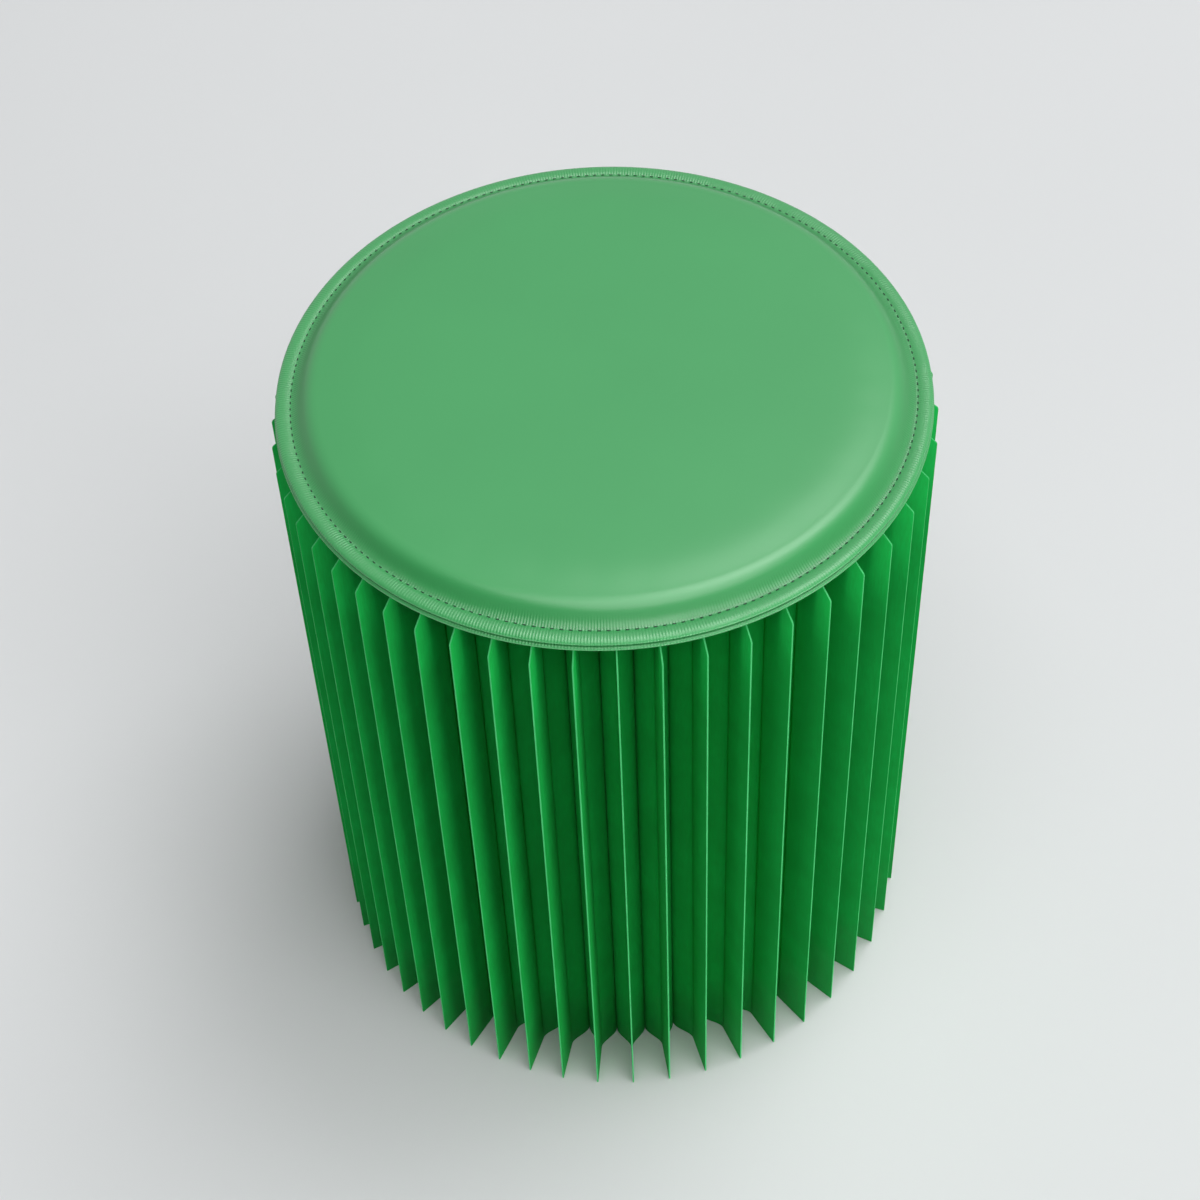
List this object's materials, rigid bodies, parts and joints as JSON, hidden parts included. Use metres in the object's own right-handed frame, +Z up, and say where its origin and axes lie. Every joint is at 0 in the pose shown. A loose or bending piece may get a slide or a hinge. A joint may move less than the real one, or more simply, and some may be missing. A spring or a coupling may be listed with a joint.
{
  "type": "folding paper stool",
  "caption": "Round stool of glued paper leaves that fans out from a flat book into a ring of fins, with a loose padded seat on top.",
  "frame": {"origin": "on the floor, under the middle of the stool", "axes": "+Z up, -Y towards the viewer, +X to the viewer's right"},
  "size_m": [0.3496, 0.3499, 0.4385],
  "materials": {
    "paper": "matte",
    "cover_board": "matte",
    "magnet": "satin",
    "pad_cover": "satin",
    "pad_base": "matte",
    "foam": "matte",
    "thread": "matte"
  },
  "bodies": {
    "middle_pair": {"leaf_pair_25": "paper"},
    "right_cover": {"cover_board_right": "cover_board", "cover_leaf_right": "paper", "cover_magnets_right": "magnet"},
    "left_cover": {"cover_board_left": "cover_board", "cover_leaf_left": "paper", "cover_magnets_left": "magnet"},
    "pair_01": {"leaf_pair_01": "paper"},
    "pair_02": {"leaf_pair_02": "paper"},
    "pair_03": {"leaf_pair_03": "paper"},
    "pair_04": {"leaf_pair_04": "paper"},
    "pair_05": {"leaf_pair_05": "paper"},
    "pair_06": {"leaf_pair_06": "paper"},
    "pair_07": {"leaf_pair_07": "paper"},
    "pair_08": {"leaf_pair_08": "paper"},
    "pair_09": {"leaf_pair_09": "paper"},
    "pair_10": {"leaf_pair_10": "paper"},
    "pair_11": {"leaf_pair_11": "paper"},
    "pair_12": {"leaf_pair_12": "paper"},
    "pair_13": {"leaf_pair_13": "paper"},
    "pair_14": {"leaf_pair_14": "paper"},
    "pair_15": {"leaf_pair_15": "paper"},
    "pair_16": {"leaf_pair_16": "paper"},
    "pair_17": {"leaf_pair_17": "paper"},
    "pair_18": {"leaf_pair_18": "paper"},
    "pair_19": {"leaf_pair_19": "paper"},
    "pair_20": {"leaf_pair_20": "paper"},
    "pair_21": {"leaf_pair_21": "paper"},
    "pair_22": {"leaf_pair_22": "paper"},
    "pair_23": {"leaf_pair_23": "paper"},
    "pair_24": {"leaf_pair_24": "paper"},
    "pair_26": {"leaf_pair_26": "paper"},
    "pair_27": {"leaf_pair_27": "paper"},
    "pair_28": {"leaf_pair_28": "paper"},
    "pair_29": {"leaf_pair_29": "paper"},
    "pair_30": {"leaf_pair_30": "paper"},
    "pair_31": {"leaf_pair_31": "paper"},
    "pair_32": {"leaf_pair_32": "paper"},
    "pair_33": {"leaf_pair_33": "paper"},
    "pair_34": {"leaf_pair_34": "paper"},
    "pair_35": {"leaf_pair_35": "paper"},
    "pair_36": {"leaf_pair_36": "paper"},
    "pair_37": {"leaf_pair_37": "paper"},
    "pair_38": {"leaf_pair_38": "paper"},
    "pair_39": {"leaf_pair_39": "paper"},
    "pair_40": {"leaf_pair_40": "paper"},
    "pair_41": {"leaf_pair_41": "paper"},
    "pair_42": {"leaf_pair_42": "paper"},
    "pair_43": {"leaf_pair_43": "paper"},
    "pair_44": {"leaf_pair_44": "paper"},
    "pair_45": {"leaf_pair_45": "paper"},
    "pair_46": {"leaf_pair_46": "paper"},
    "pair_47": {"leaf_pair_47": "paper"},
    "pair_48": {"leaf_pair_48": "paper"},
    "pair_49": {"leaf_pair_49": "paper"},
    "seat_pad": {"pad_bottom_cover": "pad_cover", "pad_base_board": "pad_base", "pad_foam": "foam", "pad_top_cover": "pad_cover", "pad_seam_thread": "thread"}
  },
  "joints": [
    {"name": "fold", "type": "hinge", "parent": "middle_pair", "child": "right_cover", "pos_m": [0.01175, 0.00182, 0], "axis": [0, 0, -1], "range_deg": [0, 197.58], "deforming": ["cover_leaf_right", "leaf_pair_25"]},
    {"name": "fold_left_cover", "type": "hinge", "parent": "middle_pair", "child": "left_cover", "pos_m": [-0.01175, -0.00182, 0], "axis": [0, 0, 1], "range_deg": [0, 162.42], "deforming": ["cover_leaf_left"]},
    {"name": "fold_pair_01", "type": "hinge", "parent": "middle_pair", "child": "pair_01", "pos_m": [-0.0102, -0.00229, 0], "axis": [0, 0, 1], "range_deg": [0, 154.65], "deforming": ["leaf_pair_01"]},
    {"name": "fold_pair_02", "type": "hinge", "parent": "middle_pair", "child": "pair_02", "pos_m": [-0.00978, -0.00283, 0], "axis": [0, 0, 1], "range_deg": [0, 147.69], "deforming": ["leaf_pair_02"]},
    {"name": "fold_pair_03", "type": "hinge", "parent": "middle_pair", "child": "pair_03", "pos_m": [-0.00935, -0.00332, 0], "axis": [0, 0, 1], "range_deg": [0, 140.87], "deforming": ["leaf_pair_03"]},
    {"name": "fold_pair_04", "type": "hinge", "parent": "middle_pair", "child": "pair_04", "pos_m": [-0.00893, -0.00377, 0], "axis": [0, 0, 1], "range_deg": [0, 134.17], "deforming": ["leaf_pair_04"]},
    {"name": "fold_pair_05", "type": "hinge", "parent": "middle_pair", "child": "pair_05", "pos_m": [-0.0085, -0.00418, 0], "axis": [0, 0, 1], "range_deg": [0, 127.6], "deforming": ["leaf_pair_05"]},
    {"name": "fold_pair_06", "type": "hinge", "parent": "middle_pair", "child": "pair_06", "pos_m": [-0.00808, -0.00456, 0], "axis": [0, 0, 1], "range_deg": [0, 121.14], "deforming": ["leaf_pair_06"]},
    {"name": "fold_pair_07", "type": "hinge", "parent": "middle_pair", "child": "pair_07", "pos_m": [-0.00765, -0.0049, 0], "axis": [0, 0, 1], "range_deg": [0, 114.77], "deforming": ["leaf_pair_07"]},
    {"name": "fold_pair_08", "type": "hinge", "parent": "middle_pair", "child": "pair_08", "pos_m": [-0.00722, -0.0052, 0], "axis": [0, 0, 1], "range_deg": [0, 108.49], "deforming": ["leaf_pair_08"]},
    {"name": "fold_pair_09", "type": "hinge", "parent": "middle_pair", "child": "pair_09", "pos_m": [-0.0068, -0.00548, 0], "axis": [0, 0, 1], "range_deg": [0, 102.29], "deforming": ["leaf_pair_09"]},
    {"name": "fold_pair_10", "type": "hinge", "parent": "middle_pair", "child": "pair_10", "pos_m": [-0.00637, -0.00573, 0], "axis": [0, 0, 1], "range_deg": [0, 96.14], "deforming": ["leaf_pair_10"]},
    {"name": "fold_pair_11", "type": "hinge", "parent": "middle_pair", "child": "pair_11", "pos_m": [-0.00595, -0.00595, 0], "axis": [0, 0, 1], "range_deg": [0, 90.04], "deforming": ["leaf_pair_11"]},
    {"name": "fold_pair_12", "type": "hinge", "parent": "middle_pair", "child": "pair_12", "pos_m": [-0.00553, -0.00614, 0], "axis": [0, 0, 1], "range_deg": [0, 83.96], "deforming": ["leaf_pair_12"]},
    {"name": "fold_pair_13", "type": "hinge", "parent": "middle_pair", "child": "pair_13", "pos_m": [-0.0051, -0.00631, 0], "axis": [0, 0, 1], "range_deg": [0, 77.88], "deforming": ["leaf_pair_13"]},
    {"name": "fold_pair_14", "type": "hinge", "parent": "middle_pair", "child": "pair_14", "pos_m": [-0.00468, -0.00646, 0], "axis": [0, 0, 1], "range_deg": [0, 71.8], "deforming": ["leaf_pair_14"]},
    {"name": "fold_pair_15", "type": "hinge", "parent": "middle_pair", "child": "pair_15", "pos_m": [-0.00425, -0.00658, 0], "axis": [0, 0, 1], "range_deg": [0, 65.69], "deforming": ["leaf_pair_15"]},
    {"name": "fold_pair_16", "type": "hinge", "parent": "middle_pair", "child": "pair_16", "pos_m": [-0.00382, -0.00669, 0], "axis": [0, 0, 1], "range_deg": [0, 59.54], "deforming": ["leaf_pair_16"]},
    {"name": "fold_pair_17", "type": "hinge", "parent": "middle_pair", "child": "pair_17", "pos_m": [-0.0034, -0.00677, 0], "axis": [0, 0, 1], "range_deg": [0, 53.33], "deforming": ["leaf_pair_17"]},
    {"name": "fold_pair_18", "type": "hinge", "parent": "middle_pair", "child": "pair_18", "pos_m": [-0.00298, -0.00683, 0], "axis": [0, 0, 1], "range_deg": [0, 47.05], "deforming": ["leaf_pair_18"]},
    {"name": "fold_pair_19", "type": "hinge", "parent": "middle_pair", "child": "pair_19", "pos_m": [-0.00255, -0.00688, 0], "axis": [0, 0, 1], "range_deg": [0, 40.67], "deforming": ["leaf_pair_19"]},
    {"name": "fold_pair_20", "type": "hinge", "parent": "middle_pair", "child": "pair_20", "pos_m": [-0.00213, -0.00691, 0], "axis": [0, 0, 1], "range_deg": [0, 34.2], "deforming": ["leaf_pair_20"]},
    {"name": "fold_pair_21", "type": "hinge", "parent": "middle_pair", "child": "pair_21", "pos_m": [-0.0017, -0.00692, 0], "axis": [0, 0, 1], "range_deg": [0, 27.61], "deforming": ["leaf_pair_21"]},
    {"name": "fold_pair_22", "type": "hinge", "parent": "middle_pair", "child": "pair_22", "pos_m": [-0.00128, -0.00691, 0], "axis": [0, 0, 1], "range_deg": [0, 20.91], "deforming": ["leaf_pair_22"]},
    {"name": "fold_pair_23", "type": "hinge", "parent": "middle_pair", "child": "pair_23", "pos_m": [-0.00085, -0.00689, 0], "axis": [0, 0, 1], "range_deg": [0, 14.07], "deforming": ["leaf_pair_23"]},
    {"name": "fold_pair_24", "type": "hinge", "parent": "middle_pair", "child": "pair_24", "pos_m": [-0.00042, -0.00685, 0], "axis": [0, 0, 1], "range_deg": [0, 7.1], "deforming": ["leaf_pair_24"]},
    {"name": "fold_pair_26", "type": "hinge", "parent": "middle_pair", "child": "pair_26", "pos_m": [0.00042, -0.00672, 0], "axis": [0, 0, -1], "range_deg": [0, 7.24], "deforming": ["leaf_pair_26"]},
    {"name": "fold_pair_27", "type": "hinge", "parent": "middle_pair", "child": "pair_27", "pos_m": [0.00085, -0.00662, 0], "axis": [0, 0, -1], "range_deg": [0, 14.62], "deforming": ["leaf_pair_27"]},
    {"name": "fold_pair_28", "type": "hinge", "parent": "middle_pair", "child": "pair_28", "pos_m": [0.00128, -0.00652, 0], "axis": [0, 0, -1], "range_deg": [0, 22.13], "deforming": ["leaf_pair_28"]},
    {"name": "fold_pair_29", "type": "hinge", "parent": "middle_pair", "child": "pair_29", "pos_m": [0.0017, -0.00639, 0], "axis": [0, 0, -1], "range_deg": [0, 29.77], "deforming": ["leaf_pair_29"]},
    {"name": "fold_pair_30", "type": "hinge", "parent": "middle_pair", "child": "pair_30", "pos_m": [0.00213, -0.00625, 0], "axis": [0, 0, -1], "range_deg": [0, 37.54], "deforming": ["leaf_pair_30"]},
    {"name": "fold_pair_31", "type": "hinge", "parent": "middle_pair", "child": "pair_31", "pos_m": [0.00255, -0.00609, 0], "axis": [0, 0, -1], "range_deg": [0, 45.41], "deforming": ["leaf_pair_31"]},
    {"name": "fold_pair_32", "type": "hinge", "parent": "middle_pair", "child": "pair_32", "pos_m": [0.00298, -0.00592, 0], "axis": [0, 0, -1], "range_deg": [0, 53.38], "deforming": ["leaf_pair_32"]},
    {"name": "fold_pair_33", "type": "hinge", "parent": "middle_pair", "child": "pair_33", "pos_m": [0.0034, -0.00572, 0], "axis": [0, 0, -1], "range_deg": [0, 61.45], "deforming": ["leaf_pair_33"]},
    {"name": "fold_pair_34", "type": "hinge", "parent": "middle_pair", "child": "pair_34", "pos_m": [0.00382, -0.00551, 0], "axis": [0, 0, -1], "range_deg": [0, 69.58], "deforming": ["leaf_pair_34"]},
    {"name": "fold_pair_35", "type": "hinge", "parent": "middle_pair", "child": "pair_35", "pos_m": [0.00425, -0.00527, 0], "axis": [0, 0, -1], "range_deg": [0, 77.78], "deforming": ["leaf_pair_35"]},
    {"name": "fold_pair_36", "type": "hinge", "parent": "middle_pair", "child": "pair_36", "pos_m": [0.00468, -0.00501, 0], "axis": [0, 0, -1], "range_deg": [0, 86.02], "deforming": ["leaf_pair_36"]},
    {"name": "fold_pair_37", "type": "hinge", "parent": "middle_pair", "child": "pair_37", "pos_m": [0.0051, -0.00473, 0], "axis": [0, 0, -1], "range_deg": [0, 94.28], "deforming": ["leaf_pair_37"]},
    {"name": "fold_pair_38", "type": "hinge", "parent": "middle_pair", "child": "pair_38", "pos_m": [0.00553, -0.00443, 0], "axis": [0, 0, -1], "range_deg": [0, 102.56], "deforming": ["leaf_pair_38"]},
    {"name": "fold_pair_39", "type": "hinge", "parent": "middle_pair", "child": "pair_39", "pos_m": [0.00595, -0.0041, 0], "axis": [0, 0, -1], "range_deg": [0, 110.82], "deforming": ["leaf_pair_39"]},
    {"name": "fold_pair_40", "type": "hinge", "parent": "middle_pair", "child": "pair_40", "pos_m": [0.00637, -0.00375, 0], "axis": [0, 0, -1], "range_deg": [0, 119.06], "deforming": ["leaf_pair_40"]},
    {"name": "fold_pair_41", "type": "hinge", "parent": "middle_pair", "child": "pair_41", "pos_m": [0.0068, -0.00337, 0], "axis": [0, 0, -1], "range_deg": [0, 127.26], "deforming": ["leaf_pair_41"]},
    {"name": "fold_pair_42", "type": "hinge", "parent": "middle_pair", "child": "pair_42", "pos_m": [0.00722, -0.00296, 0], "axis": [0, 0, -1], "range_deg": [0, 135.41], "deforming": ["leaf_pair_42"]},
    {"name": "fold_pair_43", "type": "hinge", "parent": "middle_pair", "child": "pair_43", "pos_m": [0.00765, -0.00252, 0], "axis": [0, 0, -1], "range_deg": [0, 143.48], "deforming": ["leaf_pair_43"]},
    {"name": "fold_pair_44", "type": "hinge", "parent": "middle_pair", "child": "pair_44", "pos_m": [0.00808, -0.00205, 0], "axis": [0, 0, -1], "range_deg": [0, 151.46], "deforming": ["leaf_pair_44"]},
    {"name": "fold_pair_45", "type": "hinge", "parent": "middle_pair", "child": "pair_45", "pos_m": [0.0085, -0.00155, 0], "axis": [0, 0, -1], "range_deg": [0, 159.34], "deforming": ["leaf_pair_45"]},
    {"name": "fold_pair_46", "type": "hinge", "parent": "middle_pair", "child": "pair_46", "pos_m": [0.00893, -0.00101, 0], "axis": [0, 0, -1], "range_deg": [0, 167.11], "deforming": ["leaf_pair_46"]},
    {"name": "fold_pair_47", "type": "hinge", "parent": "middle_pair", "child": "pair_47", "pos_m": [0.00935, -0.00043, 0], "axis": [0, 0, -1], "range_deg": [0, 174.77], "deforming": ["leaf_pair_47"]},
    {"name": "fold_pair_48", "type": "hinge", "parent": "middle_pair", "child": "pair_48", "pos_m": [0.00978, 0.00019, 0], "axis": [0, 0, -1], "range_deg": [0, 182.29], "deforming": ["leaf_pair_48"]},
    {"name": "fold_pair_49", "type": "hinge", "parent": "middle_pair", "child": "pair_49", "pos_m": [0.0102, 0.00086, 0], "axis": [0, 0, -1], "range_deg": [0, 189.68], "deforming": ["leaf_pair_49"]},
    {"name": "pad_lift", "type": "slide", "parent": "middle_pair", "child": "seat_pad", "axis": [0, 0, 1], "range_m": [0, 0.12]}
  ],
  "couplings": [
    {"joint": "fold_left_cover", "follows": "fold", "ratio": 0.82209},
    {"joint": "fold_pair_01", "follows": "fold", "ratio": 0.78272},
    {"joint": "fold_pair_02", "follows": "fold", "ratio": 0.74752},
    {"joint": "fold_pair_03", "follows": "fold", "ratio": 0.71299},
    {"joint": "fold_pair_04", "follows": "fold", "ratio": 0.6791},
    {"joint": "fold_pair_05", "follows": "fold", "ratio": 0.64582},
    {"joint": "fold_pair_06", "follows": "fold", "ratio": 0.61311},
    {"joint": "fold_pair_07", "follows": "fold", "ratio": 0.5809},
    {"joint": "fold_pair_08", "follows": "fold", "ratio": 0.54912},
    {"joint": "fold_pair_09", "follows": "fold", "ratio": 0.51772},
    {"joint": "fold_pair_10", "follows": "fold", "ratio": 0.48661},
    {"joint": "fold_pair_11", "follows": "fold", "ratio": 0.45571},
    {"joint": "fold_pair_12", "follows": "fold", "ratio": 0.42493},
    {"joint": "fold_pair_13", "follows": "fold", "ratio": 0.3942},
    {"joint": "fold_pair_14", "follows": "fold", "ratio": 0.36341},
    {"joint": "fold_pair_15", "follows": "fold", "ratio": 0.3325},
    {"joint": "fold_pair_16", "follows": "fold", "ratio": 0.30136},
    {"joint": "fold_pair_17", "follows": "fold", "ratio": 0.26993},
    {"joint": "fold_pair_18", "follows": "fold", "ratio": 0.23812},
    {"joint": "fold_pair_19", "follows": "fold", "ratio": 0.20586},
    {"joint": "fold_pair_20", "follows": "fold", "ratio": 0.17309},
    {"joint": "fold_pair_21", "follows": "fold", "ratio": 0.13976},
    {"joint": "fold_pair_22", "follows": "fold", "ratio": 0.10582},
    {"joint": "fold_pair_23", "follows": "fold", "ratio": 0.071226},
    {"joint": "fold_pair_24", "follows": "fold", "ratio": 0.035959},
    {"joint": "fold_pair_26", "follows": "fold", "ratio": 0.036656},
    {"joint": "fold_pair_27", "follows": "fold", "ratio": 0.074005},
    {"joint": "fold_pair_28", "follows": "fold", "ratio": 0.11203},
    {"joint": "fold_pair_29", "follows": "fold", "ratio": 0.1507},
    {"joint": "fold_pair_30", "follows": "fold", "ratio": 0.18998},
    {"joint": "fold_pair_31", "follows": "fold", "ratio": 0.22983},
    {"joint": "fold_pair_32", "follows": "fold", "ratio": 0.27019},
    {"joint": "fold_pair_33", "follows": "fold", "ratio": 0.311},
    {"joint": "fold_pair_34", "follows": "fold", "ratio": 0.35218},
    {"joint": "fold_pair_35", "follows": "fold", "ratio": 0.39366},
    {"joint": "fold_pair_36", "follows": "fold", "ratio": 0.43536},
    {"joint": "fold_pair_37", "follows": "fold", "ratio": 0.47719},
    {"joint": "fold_pair_38", "follows": "fold", "ratio": 0.51907},
    {"joint": "fold_pair_39", "follows": "fold", "ratio": 0.56091},
    {"joint": "fold_pair_40", "follows": "fold", "ratio": 0.60263},
    {"joint": "fold_pair_41", "follows": "fold", "ratio": 0.64413},
    {"joint": "fold_pair_42", "follows": "fold", "ratio": 0.68534},
    {"joint": "fold_pair_43", "follows": "fold", "ratio": 0.72618},
    {"joint": "fold_pair_44", "follows": "fold", "ratio": 0.76659},
    {"joint": "fold_pair_45", "follows": "fold", "ratio": 0.80648},
    {"joint": "fold_pair_46", "follows": "fold", "ratio": 0.84582},
    {"joint": "fold_pair_47", "follows": "fold", "ratio": 0.88455},
    {"joint": "fold_pair_48", "follows": "fold", "ratio": 0.92264},
    {"joint": "fold_pair_49", "follows": "fold", "ratio": 0.96005}
  ]
}
